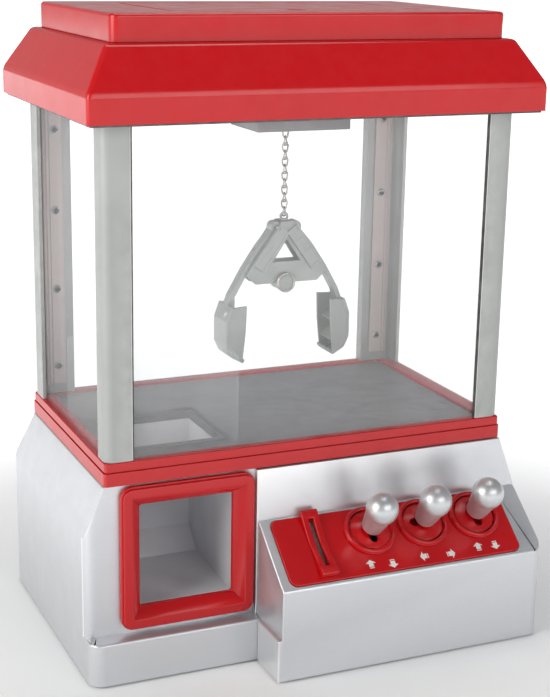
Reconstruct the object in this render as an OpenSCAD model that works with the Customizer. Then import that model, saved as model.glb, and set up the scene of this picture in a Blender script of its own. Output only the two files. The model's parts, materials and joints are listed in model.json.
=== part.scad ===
// Table-top claw crane machine: flared base with a prize bay and a sloping control
// console, a glazed cabinet on four corner posts, and a roof that hides the gantry.
// Origin: centre of the cabinet's plan, on the surface that the machine stands on.
// +Z is up and the front faces -Y. All sizes are in millimetres.

/* [Cabinet] */
// Outside width of the glazed cabinet
cabin_w = 251; // [225:1:310]
// Outside depth of the glazed cabinet
cabin_d = 148; // [148:1:190]
// Height of the windows
window_h = 184.6; // [165:0.1:230]
// Thickness of the clear sheets
window_t = 1.5; // [1.2:0.1:2]
// Width of a front corner post across the front
post_w = 15.5; // [13:0.5:19]
// Width of a rear corner post across the back
rear_post_w = 23.5; // [20:0.5:28]
// Depth of a front corner post along the side
post_d = 13.5; // [11:0.5:16]
// Depth of a rear corner post along the side
rear_post_d = 18; // [15:0.5:22]
// Wall of the corner posts
post_t = 2.4; // [2:0.1:3]

/* [Base] */
// Height of the base housing above its feet
base_h = 114.8; // [110:0.1:130]
// Height of the crease where the flanks turn vertical
crease_z = 86; // [70:1:95]
// How far the flanks stand out below the crease
flare = 11; // [6:0.5:16]
// Wall of the base and console mouldings
wall = 2.4; // [2:0.1:3]
// Height of the rubber feet that show below the base
foot_h = 1.2; // [1:0.1:3]
// Height of the plinth step along the front
plinth_z = 26.6; // [20:0.5:34]
// How far the plinth stands out in front of the bay
plinth_step = 11; // [8:0.5:15]

/* [Trim band] */
// Height of the red trim band
band_h = 13.2; // [10:0.2:18]
// Shadow gap under the trim band
band_gap = 0.6; // [0.4:0.1:1]

/* [Console] */
// Left end of the console, from the middle
console_x = -34.5; // [-40:0.5:-28]
// How far the console stands out in front of the base
console_d = 37.7; // [34:0.1:44]
// Height of the console's front edge
console_front_z = 55.9; // [50:0.1:62]
// Height of the console's rear edge
console_back_z = 85.5; // [80:0.1:92]
// Spacing of the three joysticks
stick_pitch = 35; // [34:0.5:37]
// Place of the middle joystick across the console
stick_mid_x = 65; // [62:0.5:68]
// Diameter of a joystick ball
ball_d = 19; // [16:0.5:20]
// Height of the ball's centre above the slope
ball_h = 24.5; // [23:0.5:30]

/* [Prize bay] */
// Middle of the prize opening, from the middle of the machine
bay_x = -76.2; // [-78:0.1:-75]
// Clear width of the prize opening
bay_w = 56; // [50:0.5:57]
// Clear height of the prize opening
bay_h = 61; // [56:0.2:62]
// Height of the prize opening's lower edge
bay_z = 41.8; // [40:0.2:44]
// Width of the red frame around the prize opening
bay_rim = 12.4; // [10:0.2:13]

/* [Claw and gantry] */
// Place of the claw across the cabinet
claw_x = 25.5; // [20:0.5:34]
// Height of the claw's jaw pivots
claw_z = 234.4; // [228:0.2:240]
// Length of the jaws from pivot to tip
jaw_l = 84; // [76:1:90]
// Half of the spread of the open jaws
jaw_spread = 42.5; // [38:0.5:46]
// Depth of the jaw scoops
scoop_d = 22; // [18:1:24]
// Pitch of the chain's links
link_pitch = 4.4; // [4.2:0.1:5]
// Diameter of the chain's wire
wire_d = 1.1; // [0.9:0.05:1.2]
// Width of the gantry's hanging box
box_w = 62.6; // [56:0.2:66]
// Depth of the gantry's hanging box
box_d = 43.6; // [40:0.2:46]
// Height of the clear guard round the prize chute
guard_h = 51.5; // [40:0.5:56]

/* [Roof] */
// How far the roof overhangs the cabinet at each side
roof_over = 10.6; // [8:0.2:14]
// How far the roof overhangs the cabinet at front and back
roof_over_y = 14.3; // [12:0.2:18]
// Height of the roof's upright skirt
skirt_h = 15.4; // [12:0.2:20]
// Height of the roof's sloping part
slope_h = 24.3; // [20:0.2:30]
// How far the slope leans in
slope_in = 14.4; // [10:0.2:18]
// Height of the flat cap
cap_h = 14.7; // [12:0.1:18]
// Step from the slope's top edge to the cap
cap_step = 4.4; // [3:0.2:7]
// Corner radius of the cap
cap_r = 5; // [3:0.5:7]

/* [Clearances] */
// Gap between fixed pieces that are fitted together
fit = 0.3; // [0.2:0.05:0.5]
// Radial clearance of a running fit
run = 0.05; // [0.03:0.01:0.09]

/* [Hidden] */
$fn = 48;
EPS = 0.01;

// main levels
base_z0 = foot_h;
base_top = base_z0 + base_h;
band_z0 = base_top + band_gap;
band_top = band_z0 + band_h;
frame_z0 = band_top + window_h;
frame_t = 2.6;
roof_z0 = frame_z0 + frame_t;
skirt_lap = 1.4;
skirt_z0 = roof_z0 - skirt_lap;
slope_z0 = skirt_z0 + skirt_h;
cap_z0 = slope_z0 + slope_h;
machine_h = cap_z0 + cap_h;
deck_t = 3;
deck_z = band_top - 1.8;

// plan sizes, as half widths
cx = cabin_w / 2;
cy = cabin_d / 2;
bx = cx + flare;
back_y = cy + flare;
bay_wall_y = -cy + 2.5;
wall_y = -cy - 2;
plinth_y = bay_wall_y - plinth_step;
console_y = wall_y - console_d;
skin = 1.1;
post_x = cx - skin;
post_y = cy - 0.8;
glass_y = post_y - post_t;
glass_x = post_x - post_t;

// roof
rx = cx + roof_over;
ry = cy + roof_over_y;
roof_t = 2;
kx = rx - slope_in - cap_step;
ky = ry - slope_in - cap_step;
frame_in_x = glass_x - window_t - 2.6;
frame_in_y = glass_y - window_t - 1;

// console slope: local x across, local y up the slope, local z along its normal
slope_a = atan2(console_back_z - console_front_z, console_d);
slope_l = norm([console_d, console_back_z - console_front_z]);
panel_x0 = console_x + 6;
panel_x1 = bx - 14.5;
panel_l = slope_l - 4.5;
panel_t = 2;
panel_up = 0.8;
panel_seat = panel_t - panel_up;
panel_r = 5;
stick_s = 18;
stick_x = [for (i = [-1:1]) stick_mid_x + i * stick_pitch];
bezel_r = 16;
slot_half = 8.6;
slot_w = 5.2;
stem_r = 2.1;
pivot_h = -12;
trunnion_r = 1.5;
ear_gap = 5;
ear_t = 2;
coin_x = -4.3;
coin_w = 10.6;
coin_slot_w = 3.2;
coin_slot_l = 31;
coin_s = 21.4;

// prize chute and guard
bay_x0 = bay_x - bay_w / 2;
bay_x1 = bay_x + bay_w / 2;
bay_top = bay_z + bay_h;
chute_t = 1.6;
claw_half = scoop_d / 2;
box_y1 = frame_in_y - 0.7;
box_y0 = box_y1 - box_d;
claw_y = box_y0 + 6;
guard_y = claw_y - claw_half - 5;
guard_x = bay_x1 + 8.7;
guard_front = -cy + 17;
hole_y1 = guard_y - 12.2;
hole_y0 = -cy + 24;
ramp_top = bay_z + 15.2;
ramp_foot = bay_z + 2.4;
ramp_run = 13.5;
rim_t = 2;

// gantry
box_x0 = claw_x - 21.1;
box_x1 = box_x0 + box_w;
box_z0 = frame_z0 - 20.4;
box_z1 = roof_z0 + 1.4;
lid_t = 2;
lid_z1 = box_z1 + lid_t;
rod_r = 2;
rod_z = lid_z1 + 5;
rod_ys = [claw_y + 8, box_y1 - 6];
rail_r = 2.5;
rail_x = frame_in_x + 6;
rail_z = rod_z;
truck_y0 = rod_ys[0] - 6;
truck_y1 = rod_ys[1] + 2.5;
truck_w = 13;
truck_x = rail_x - 1.5;
beam_z0 = rod_z + 6;
beam_t = 2;
beam_y = (rod_ys[0] + rod_ys[1]) / 2;
wheel_r = 4.9;
wheel_w = 3;
axle_r = 1;
drive_x = box_x0 + 30;
drive_z = beam_z0 - 0.1 - wheel_r;
track_r = 4;
track_x = truck_x + truck_w / 2 + 1.8;
track_z = roof_z0 + 0.1 + track_r;
drum_r = 5;
drum_y = claw_y + drum_r + 2.9;
drum_z = box_z0 + 11.5;
drum_x0 = claw_x - 6;
drum_x1 = claw_x + 6;
chain_top = box_z1;
link_wide = 4.6;
ring_z = claw_z + 6.2;

// claw
pivot_dx = 6.6;
pin_r = 1.2;
eye_r = 3.8;
blade_t = 3.2;
blade_d = 7.4;
plate_t = 2;
plate_y = blade_d / 2 + 0.3;

// ---- helpers ----

// Plate with rounded corners, lying on z = 0
module round_plate(x0, x1, y0, y1, h, r) {
    linear_extrude(h) round_rect(x0, x1, y0, y1, r);
}

// Rectangle with rounded corners, drawn from true circles
module round_rect(x0, x1, y0, y1, r) {
    translate([x0 + r, y0]) square([x1 - x0 - 2 * r, y1 - y0]);
    translate([x0, y0 + r]) square([x1 - x0, y1 - y0 - 2 * r]);
    for (x = [x0 + r, x1 - r], y = [y0 + r, y1 - r]) translate([x, y]) circle(r);
}

// Box between two corners
module box(a, b) {
    translate(a) cube(b - a);
}

// Cylinder along X from x0 to x1
module rod_x(x0, x1, y, z, r) {
    translate([x0, y, z]) rotate([0, 90, 0]) cylinder(r = r, h = x1 - x0);
}

// Cylinder along Y from y0 to y1
module rod_y(x, y0, y1, z, r) {
    translate([x, y0, z]) rotate([-90, 0, 0]) cylinder(r = r, h = y1 - y0);
}

// Places things on the console's sloping top
module on_slope() {
    translate([0, wall_y, console_back_z]) rotate([slope_a, 0, 0]) children();
}

// Places things on joystick number i, with z = 0 on the panel's face
module at_stick(i) {
    on_slope() translate([stick_x[i], -stick_s, panel_up]) children();
}

// The same thing at the left and at the right
module both_sides() {
    children();
    mirror([1, 0, 0]) children();
}

// Prism whose front view is a trapezium in x and whose side view is one in y
module tapered(x0, y0a, y0b, x1, y1a, y1b, z0, z1) {
    intersection() {
        translate([0, y0b + 1, 0]) rotate([90, 0, 0]) linear_extrude(y0b - y0a + 2)
            polygon([[-x0, z0], [x0, z0], [x1, z1], [-x1, z1]]);
        translate([-x0 - 1, 0, 0]) rotate([90, 0, 90]) linear_extrude(2 * x0 + 2)
            polygon([[y0a, z0], [y0b, z0], [y1b, z1], [y1a, z1]]);
    }
}

// ---- base ----

corner_r = 6;
flange_w = 14;
flange_t = 3;
plinth_r = 8;
console_r = 7;
plate_z0 = base_z0 + 0.4;
floor_t = 2;
plate_z1 = plate_z0 + floor_t;
screw_r = 1.4;
head_r = 2.7;
head_h = 1.3;
boss_r = 3.6;
screw_l = 12;
boss_x = 118;
bank_x0 = coin_x - 17;
bank_x1 = coin_x + 21;
bank_y0 = console_y + 6;
bank_y1 = wall_y + 4;
bank_h = 20;
boss_y = [bay_wall_y + 12, cy - 20];
plate_screws = [for (x = [-boss_x, boss_x], y = boss_y) [x, y]];
batt_x0 = -24;
batt_x1 = 62;
batt_y0 = -14;
batt_y1 = 46;
batt_h = 28;
holder_t = 1.8;
bank_t = 1.6;
grille_x = 78;
grille_z = 56;
grille_r = 19;
switch_x = -62;
switch_z = 52;
switch_travel = 4;
knob_w = 5;
knob_h = 4;

// Solid outline of the base, pulled in by o on every side
module base_form(o) {
    difference() {
        intersection() {
            union() {
                tapered(bx - o, -200, 200, bx - o, -200, 200, base_z0 - 1, crease_z);
                tapered(bx - o, wall_y - 9, back_y - o, cx - o, wall_y - 9, cy - o, crease_z, base_top);
            }
            translate([0, 0, base_z0 - 1]) linear_extrude(base_top - base_z0 + 1) base_plan(o);
        }
        box([-200, -200, base_top], [200, 200, base_top + 9]);
    }
}

// Plan of the base: the bay wall at the left is set back from the wall at the right
module base_plan(o) {
    round_rect(-bx + o, bx - o, bay_wall_y + o, back_y - o, corner_r - o / 2);
    translate([console_x - 0.8 + o, wall_y + o]) square([bx - console_x + 0.8 - 2 * o, back_y]);
}

module base_housing() {
    color("#d6dade") difference() {
        union() {
            base_shell();
            for (p = plate_screws) translate([p[0], p[1], plate_z1])
                cylinder(r = boss_r, h = base_top - flange_t + EPS - plate_z1);
        }
        for (p = plate_screws) translate([p[0], p[1], 0]) cylinder(r = screw_r + run, h = screw_l + 2);
        box([switch_x - knob_w / 2 - 0.5, back_y - wall - 1, switch_z - knob_h / 2 - 0.5],
            [switch_x + knob_w / 2 + switch_travel + 0.5, back_y + 1, switch_z + knob_h / 2 + 0.5]);
        for (i = [-3:3]) translate([grille_x + i * 5, back_y - wall - 1, grille_z])
            box([-1, 0, -sqrt(grille_r * grille_r - 25 * i * i)],
                [1, wall + 2, sqrt(grille_r * grille_r - 25 * i * i)]);
    }
}

// Hollow base with its top flange, bay opening and way through to the console
module base_shell() {
    difference() {
        union() {
            intersection() {
                base_form(0);
                box([-200, -200, base_z0], [200, back_y, base_top]);
            }
            difference() {
                round_plate_at(-bx, console_x + 20, plinth_y, bay_wall_y + 20, base_z0, plinth_z, plinth_r);
                box([console_x - fit, plinth_y - 1, 0], [bx, wall_y, plinth_z + 1]);
            }
        }
        difference() {
            base_form(wall);
            box([-200, -200, base_top - flange_t], [200, 200, base_top + 1]);
        }
        box([-cx + flange_w, bay_wall_y + wall + 4, base_top - 9],
            [cx - flange_w, cy - flange_w, base_top + 1]);
        round_plate_at(-bx + wall, console_x + 20 - wall, plinth_y + wall, bay_wall_y + 40,
            base_z0 - 1, plinth_z - wall, plinth_r - wall);
        box([console_x + wall, plinth_y - 5, base_z0 - 1],
            [bx - wall, wall_y + 9, console_back_z - 12]);
        round_hole_y(bay_x0 - 3.6, bay_x1 + 3.6, bay_z - 3.6, bay_top + 3.6,
            bay_wall_y - 1, bay_wall_y + wall + 1);
    }
}

// Upright block with rounded corners from z0 to z1
module round_plate_at(x0, x1, y0, y1, z0, z1, r) {
    translate([0, 0, z0]) round_plate(x0, x1, y0, y1, z1 - z0, r);
}

// Hole with rounded corners through a wall that faces -Y
module round_hole_y(x0, x1, z0, z1, y0, y1) {
    translate([0, y1, 0]) rotate([90, 0, 0]) round_plate(x0, x1, z0, z1, y1 - y0, 3);
}

plan_in = wall + fit;

module base_plate() {
    color("#3a3c3f") difference() {
        union() {
            round_plate_at(-bx + plan_in, bx - plan_in, bay_wall_y + plan_in, back_y - plan_in,
                plate_z0, plate_z1, corner_r - 2);
            round_plate_at(-bx + plan_in, console_x - 0.8 - fit, plinth_y + plan_in, -60,
                plate_z0, plate_z1, plinth_r - plan_in);
            round_plate_at(console_x + plan_in, bx - plan_in, console_y + plan_in, -60,
                plate_z0, plate_z1, console_r - plan_in);
            for (p = board_corners) translate([p[0], p[1], plate_z1 - EPS])
                cylinder(r = 2.6, h = board_up + EPS);
        }
        box([batt_x0 + 4, batt_y0 + 4, 0], [batt_x1 - 4, batt_y1 - 4, plate_z1 + 1]);
        box([bank_x0 + 4, bank_y0 + 4, 0], [bank_x1 - 4, bank_y1 - 4, plate_z1 + 1]);
        for (p = plate_screws) translate([p[0], p[1], 0]) cylinder(r = screw_r + fit, h = 9);
        for (p = board_corners) translate([p[0], p[1], plate_z1 + 1]) cylinder(r = screw_r + run, h = 20);
    }
}

board_x0 = 74;
board_x1 = 126;
board_y0 = -46;
board_y1 = 20;
board_up = 8;
board_t = 1.6;
board_corners = [for (x = [board_x0 + 4, board_x1 - 4], y = [board_y0 + 4, board_y1 - 4]) [x, y]];
board_z1 = plate_z1 + board_up + board_t;

module circuit_board() {
    color("#1f6b3a") difference() {
        box([board_x0, board_y0, board_z1 - board_t], [board_x1, board_y1, board_z1]);
        for (p = board_corners) translate([p[0], p[1], 0]) cylinder(r = screw_r + fit, h = 40);
    }
    color("#202124") {
        box([board_x0 + 14, board_y0 + 16, board_z1 - EPS], [board_x0 + 30, board_y0 + 26, board_z1 + 2.4]);
        box([board_x0 + 8, board_y1 - 22, board_z1 - EPS], [board_x0 + 15, board_y1 - 14, board_z1 + 6]);
        box([board_x1 - 15, board_y0 + 14, board_z1 - EPS], [board_x1 - 5, board_y0 + 50, board_z1 + 7]);
        for (y = [0, 9]) translate([board_x0 + 26, board_y0 + 38 + y, board_z1 - EPS])
            cylinder(r = 3, h = 10);
    }
}

speaker_r = 22;

// Paper-cone speaker behind the slots in the back wall
module speaker() {
    y1 = back_y - wall;
    color("#26272a") difference() {
        union() {
            rod_y(grille_x, y1 - 3, y1, grille_z, speaker_r);
            rod_y(grille_x, y1 - 14, y1 - 2.9, grille_z, speaker_r * 0.62);
        }
        translate([grille_x, y1 + EPS, grille_z]) rotate([90, 0, 0])
            cylinder(r1 = speaker_r - 10, r2 = 4, h = 9);
    }
}

// Fixed body of the power switch, screwed behind the back wall
module switch_body() {
    y1 = back_y - wall;
    color("#1e1f22") difference() {
        box([switch_x - 8.5, y1 - 9, switch_z - 5.5], [switch_x + 12.5, y1, switch_z + 5.5]);
        box([switch_x - 5.4, y1 - 3, switch_z - 3.7],
            [switch_x + 5.4 + switch_travel, y1 + 1, switch_z + 3.7]);
    }
}

module power_switch() {
    y1 = back_y - wall;
    color("#c81414") {
        box([switch_x - 5, y1 - 2.7, switch_z - 3.4], [switch_x + 5, y1 - 0.3, switch_z + 3.4]);
        box([switch_x - knob_w / 2, y1 - 1, switch_z - knob_h / 2],
            [switch_x + knob_w / 2, back_y + 1.6, switch_z + knob_h / 2]);
    }
}

foot_r = 7;
foot_x = bx - 18;
foot_y = [console_y + 16, back_y - 17];

module rubber_feet() {
    color("#222224") for (p = [[console_x + 10.4, foot_y[0]], [foot_x, foot_y[0]],
            [-foot_x, foot_y[1]], [foot_x, foot_y[1]], [-foot_x, plinth_y + 12]])
        translate([p[0], p[1], 0]) cylinder(r = foot_r, h = plate_z0);
}

module battery_door() {
    color("#3a3c3f") difference() {
        union() {
            box([batt_x0 + 4 + fit, batt_y0 + 4 + fit, plate_z0],
                [batt_x1 - 4 - fit, batt_y1 - 4 - fit, plate_z1]);
            box([batt_x0 + 14, batt_y1 - 4 - fit - EPS, plate_z1 + fit],
                [batt_x0 + 24, batt_y1 - 2, plate_z1 + fit + 1]);
            box([batt_x0 + 14, batt_y1 - 8, plate_z0], [batt_x0 + 24, batt_y1 - 4 - fit, plate_z1 + fit + 1]);
        }
        translate([(batt_x0 + batt_x1) / 2, batt_y0 + 12, 0]) cylinder(r = screw_r + fit, h = 9);
    }
}

module battery_holder() {
    color("#2c2e31") difference() {
        box([batt_x0, batt_y0, plate_z1], [batt_x1, batt_y1, plate_z1 + batt_h]);
        box([batt_x0 + holder_t, batt_y0 + holder_t, plate_z1 - 1],
            [batt_x1 - holder_t, batt_y1 - holder_t, plate_z1 + batt_h - holder_t]);
    }
}

// ---- coin parts in the console ----

module coin_bank() {
    color("#2c2e31") difference() {
        box([bank_x0, bank_y0, plate_z1], [bank_x1, bank_y1, plate_z1 + bank_h]);
        box([bank_x0 + bank_t, bank_y0 + bank_t, plate_z1 - 1],
            [bank_x1 - bank_t, bank_y1 - bank_t, plate_z1 + bank_h + 1]);
    }
}

module coin_bank_door() {
    color("#3a3c3f") box([bank_x0 + 4 + fit, bank_y0 + 4 + fit, plate_z0],
        [bank_x1 - 4 - fit, bank_y1 - 4 - fit, plate_z1]);
}

module coin_slot_bezel() {
    rise = 4.2;
    dip_r = 62;
    color("#c81414") on_slope() translate([coin_x, -coin_s, panel_up]) difference() {
        union() {
            box([-coin_w / 2, -coin_s, 0], [coin_w / 2, coin_s - 0.4, rise]);
            box([-coin_slot_w / 2 - 1.2, -coin_slot_l / 2 - 1.2, -panel_t - 0.4],
                [coin_slot_w / 2 + 1.2, coin_slot_l / 2 + 1.2, EPS]);
        }
        rod_x(-coin_w, coin_w, 0, dip_r + 1.4, dip_r);
        box([-coin_slot_w / 2, -coin_slot_l / 2, -9], [coin_slot_w / 2, coin_slot_l / 2, 9]);
    }
}

duct_in = coin_slot_w / 2 + 0.3;
duct_t = 1.4;
duct_y0 = wall_y - (coin_s + coin_slot_l / 2) * cos(slope_a) - 1;
duct_y1 = wall_y - (coin_s - coin_slot_l / 2) * cos(slope_a) + 1;
duct_z0 = plate_z1 + bank_h + 2;
lever_y = duct_y1 + 5.6;
lever_z = duct_z0 + 15;
lever_r = 1;
lever_l = 25;
swing_room = 12;

// Upright duct under the coin slot, with the bearing of the coin lever behind it
module coin_chute() {
    color("#d8d8d4") difference() {
        union() {
            box([coin_x - duct_in - duct_t, duct_y0 - duct_t, duct_z0],
                [coin_x + duct_in + duct_t, duct_y1 + duct_t, console_back_z]);
            on_slope() box([coin_x - 8, -coin_s - 18, -wall - 1.6], [coin_x + 8, -coin_s + 10, -wall + 1]);
            box([coin_x - duct_in - 2.4, duct_y1, lever_z - 3.4],
                [coin_x + duct_in + 2.4, lever_y + 2.6, lever_z + 3.4]);
        }
        box([coin_x - duct_in, duct_y0, duct_z0 - 1], [coin_x + duct_in, duct_y1, console_back_z + 9]);
        box([coin_x - 0.9, duct_y1 - 1, lever_z - swing_room], [coin_x + 0.9, lever_y + 9, lever_z + 3.5]);
        rod_x(coin_x - 9, coin_x + 9, lever_y, lever_z, lever_r + run);
        on_slope() box([-200, -200, -wall], [200, 200, 90]);
    }
}

// Thin arm across the coin's way, which a falling coin presses down
module coin_lever() {
    color("#b9bcc0") {
        rod_x(coin_x - duct_in - 2.2, coin_x + duct_in + 2.2, lever_y, lever_z, lever_r);
        rod_x(coin_x - 0.6, coin_x + 0.6, lever_y, lever_z, 2);
        box([coin_x - 0.6, lever_y - lever_l, lever_z - 0.7], [coin_x + 0.6, lever_y, lever_z + 0.7]);
    }
}

// ---- console ----

// Height of the sloping top at depth y, lowered by o along its normal
function slope_top(y, o) = console_back_z + (y - wall_y) * tan(slope_a) - o / cos(slope_a);

// Side outline of the console, pulled in by o and open at the back from y1
module console_form(o, y1) {
    intersection() {
        rotate([90, 0, 90]) translate([0, 0, console_x + o]) linear_extrude(bx - console_x - 2 * o)
            polygon([
                [y1, base_z0 - o], [console_y + o, base_z0 - o],
                [console_y + o, slope_top(console_y + o, o)], [y1, slope_top(y1, o)]
            ]);
        translate([0, 0, -1]) round_plate(console_x - 99, bx - o, console_y + o, 99, 200, console_r - o);
    }
}

module console_housing() {
    step = 2.4;
    color("#d6dade") difference() {
        union() {
            console_form(0, wall_y - fit);
            box([console_x - step, console_y, base_z0], [console_x + 4, plinth_y - fit, plinth_z]);
        }
        console_form(wall, wall_y + 1);
        on_slope() {
            translate([0, 0, -panel_seat]) round_plate(panel_x0 - fit, panel_x1 + fit, -panel_l - 2 - fit,
                -2 + fit, 9, panel_r);
            box([coin_x - 4.6, -coin_s - 17, -19], [coin_x + 4.6, -coin_s + 17.4, 9]);
            for (x = stick_x) translate([x, -stick_s, -9]) cylinder(r = 13, h = 18);
        }
    }
}

module control_panel() {
    color("#c81414") on_slope() difference() {
        translate([0, 0, -panel_seat]) round_plate(panel_x0, panel_x1, -panel_l - 2, -2, panel_t, panel_r);
        for (x = stick_x) translate([x, -stick_s, -9]) cylinder(r = 11.5, h = 18);
        box([coin_x - coin_slot_w / 2 - 1.2 - fit, -coin_s - coin_slot_l / 2 - 1.2 - fit, -9],
            [coin_x + coin_slot_w / 2 + 1.2 + fit, -coin_s + coin_slot_l / 2 + 1.2 + fit, 9]);
    }
}

// ---- joysticks ----

// Bezel with a raised ring and a shallow dome; the slot runs at angle a
module joystick_bezel(i, a) {
    base = 1.2;
    dome_r = 40;
    color("#c81414") at_stick(i) difference() {
        union() {
            cylinder(r = bezel_r, h = base);
            rotate_extrude() translate([bezel_r - 1.6, 1.3]) circle(1.3);
            intersection() {
                cylinder(r = 12.4, h = 9);
                translate([0, 0, 3.2 - dome_r]) sphere(dome_r);
            }
        }
        rotate([0, 0, a]) translate([0, 0, -1]) {
            box([-slot_half + slot_w / 2, -slot_w / 2, 0], [slot_half - slot_w / 2, slot_w / 2, 9]);
            for (s = [-1, 1]) translate([s * (slot_half - slot_w / 2), 0, 0]) cylinder(d = slot_w, h = 9);
        }
        translate([0, 0, -3]) cylinder(r = 11, h = 3.8);
    }
}

module joystick_bezel_left() { joystick_bezel(0, 90); }
module joystick_bezel_middle() { joystick_bezel(1, 0); }
module joystick_bezel_right() { joystick_bezel(2, 90); }

// Lever with its knob; the trunnion runs across the slot, so a is the slot's angle
module joystick(i, a) {
    collar_z = 5.4;
    collar_r = 6.3;
    neck_r = 8.3;
    tail = -9;
    color("#c4c7ca") at_stick(i) {
        translate([0, 0, ball_h]) sphere(d = ball_d);
        translate([0, 0, collar_z]) cylinder(r1 = collar_r, r2 = neck_r, h = ball_h - 4.4 - collar_z);
        translate([0, 0, pivot_h + tail]) cylinder(r = stem_r, h = ball_h - pivot_h - tail);
        translate([0, 0, pivot_h]) rotate([0, 0, a])
            rod_y(0, -ear_gap - ear_t, ear_gap + ear_t, 0, trunnion_r);
        translate([0, 0, pivot_h]) sphere(r = 3.4);
    }
}

module joystick_left() { joystick(0, 90); }
module joystick_middle() { joystick(1, 0); }
module joystick_right() { joystick(2, 90); }

bracket_top = -panel_up - wall;

// Hanging fork that carries one trunnion
module stick_bracket(i, a) {
    at_stick(i) rotate([0, 0, a]) difference() {
        union() {
            translate([0, 0, bracket_top - 1.6]) cylinder(r = 14.6, h = 1.6);
            for (s = [-1, 1]) box([-4, s > 0 ? ear_gap : -ear_gap - ear_t, pivot_h - 4],
                [4, s > 0 ? ear_gap + ear_t : -ear_gap, bracket_top - EPS]);
        }
        translate([0, 0, bracket_top - 9]) box([-10, -ear_gap, 0], [10, ear_gap, 19]);
        rod_y(0, -9, 9, pivot_h, trunnion_r + run);
    }
}

module joystick_brackets() {
    color("#2c2e31") {
        stick_bracket(0, 90);
        stick_bracket(1, 0);
        stick_bracket(2, 90);
    }
}

// Two leaf switches below each bracket, either side of the lever's tail
module stick_switches(i, a) {
    at_stick(i) rotate([0, 0, a]) for (s = [-1, 1])
        box([s > 0 ? 5.6 : -9.6, -ear_gap - ear_t, pivot_h - 9.6],
            [s > 0 ? 9.6 : -5.6, ear_gap + ear_t, bracket_top - 1.6]);
}

module joystick_switches() {
    color("#1e1f22") {
        stick_switches(0, 90);
        stick_switches(1, 0);
        stick_switches(2, 90);
    }
}

// ---- prize bay ----

frame_proud = 5.5;
frame_side = 12.2;

module prize_frame() {
    r = 7;
    f = bay_wall_y - frame_proud;
    sleeve = bay_wall_y + wall + 1;
    color("#c81414") difference() {
        union() {
            translate([0, bay_wall_y - 0.2, 0]) rotate([90, 0, 0])
                round_plate(bay_x0 - frame_side, bay_x1 + frame_side, bay_z - bay_rim,
                    min(bay_top + bay_rim, band_z0 - 0.5), frame_proud - 2.2, r);
            translate([0, bay_wall_y - 3.2, 0]) rotate([90, 0, 0])
                round_plate(bay_x0 - frame_side + 1, bay_x1 + frame_side - 1, bay_z - bay_rim + 1,
                    min(bay_top + bay_rim, band_z0 - 0.5) - 1, frame_proud - 3.2, r - 1);
            translate([0, sleeve, 0]) rotate([90, 0, 0])
                round_plate(bay_x0 - 3.2, bay_x1 + 3.2, bay_z - 3.2, bay_top + 3.2,
                    sleeve - bay_wall_y + 1, 3);
        }
        translate([0, sleeve + 1, 0]) rotate([90, 0, 0])
            round_plate(bay_x0, bay_x1, bay_z, bay_top, 20, 1.5);
        frame_bevel(f);
    }
}

// Mitred bevel that leads from the rim down to the opening
module frame_bevel(f) {
    w = 6;
    d = 6;
    hull() {
        box([bay_x0 - w, f - 0.2, bay_z - w], [bay_x1 + w, f - 0.1, bay_top + w]);
        box([bay_x0, f + d, bay_z], [bay_x1, f + d + 0.1, bay_top]);
    }
}

// Duct from the deck's hole down a short ramp to the bay
module prize_chute() {
    t = chute_t;
    y0 = bay_wall_y + wall + 0.2;
    x0 = bay_x0 - 0.2;
    x1 = bay_x1 + 0.2;
    lip = deck_z - deck_t;
    color("#aeb0b6") difference() {
        union() {
            chute_block(x0 - t, x1 + t, y0, t, lip);
            box([x0 - t - 2.4, y0, bay_z - 6], [x1 + t + 2.4, y0 + 1.6, bay_top + 6]);
        }
        chute_block(x0, x1, y0 - 1, 0, lip + 1);
        round_hole_y(bay_x0 - 3.6, bay_x1 + 3.6, bay_z - 3.6, bay_top + 3.6, y0 - 1, bay_wall_y + wall + 1.2);
    }
}

// Side outline of the chute, thickened by t
module chute_block(x0, x1, y0, t, top) {
    rotate([90, 0, 90]) translate([0, 0, x0]) linear_extrude(x1 - x0) polygon([
        [y0, bay_z - 0.2 - t], [hole_y1 - ramp_run + t / 2, ramp_foot - t],
        [hole_y1 + t, ramp_top - t / 2], [hole_y1 + t, top],
        [hole_y0 - t, top], [hole_y0 - t, bay_top + 0.2 + t], [y0, bay_top + 0.2 + t]
    ]);
}

// ---- band, deck and guard ----

edge_x = glass_x - window_t - 5;
edge_y = glass_y - window_t - 2;

module trim_band() {
    lower = 7.6;
    groove = 0.5;
    color("#c81414") difference() {
        union() {
            round_plate_at(-cx, cx, -cy - 0.4, cy + 0.4, band_z0, band_z0 + lower, 2);
            round_plate_at(-cx + 0.6, cx - 0.6, -cy + 0.2, cy - 0.2, band_z0 + lower - EPS, band_top, 2);
            box([-cx + 3, -cy + 4, base_top], [cx - 3, cy - 3, band_z0 + 1]);
        }
        box([-edge_x, -edge_y, base_top - 1], [edge_x, edge_y, band_top + 1]);
        difference() {
            box([-200, -200, band_z0 + lower], [200, 200, band_z0 + lower + groove]);
            round_plate_at(-cx + 1.4, cx - 1.4, -cy + 1, cy - 1, base_top, band_top, 2);
        }
    }
}

module floor_tray() {
    in_x = edge_x - fit;
    in_y = edge_y - fit;
    leg = 3;
    color("#8c9096") difference() {
        union() {
            box([-in_x, -in_y, deck_z - deck_t], [in_x, in_y, deck_z]);
            box([bay_x0 - rim_t, hole_y0 - rim_t, deck_z - EPS],
                [bay_x1 + rim_t, hole_y1 + rim_t, deck_z + 1.6]);
            for (x = [-in_x, in_x - leg]) box([x, -in_y, base_top], [x + leg, in_y, deck_z - EPS]);
        }
        box([bay_x0, hole_y0, deck_z - 9], [bay_x1, hole_y1, deck_z + 9]);
    }
}

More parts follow.
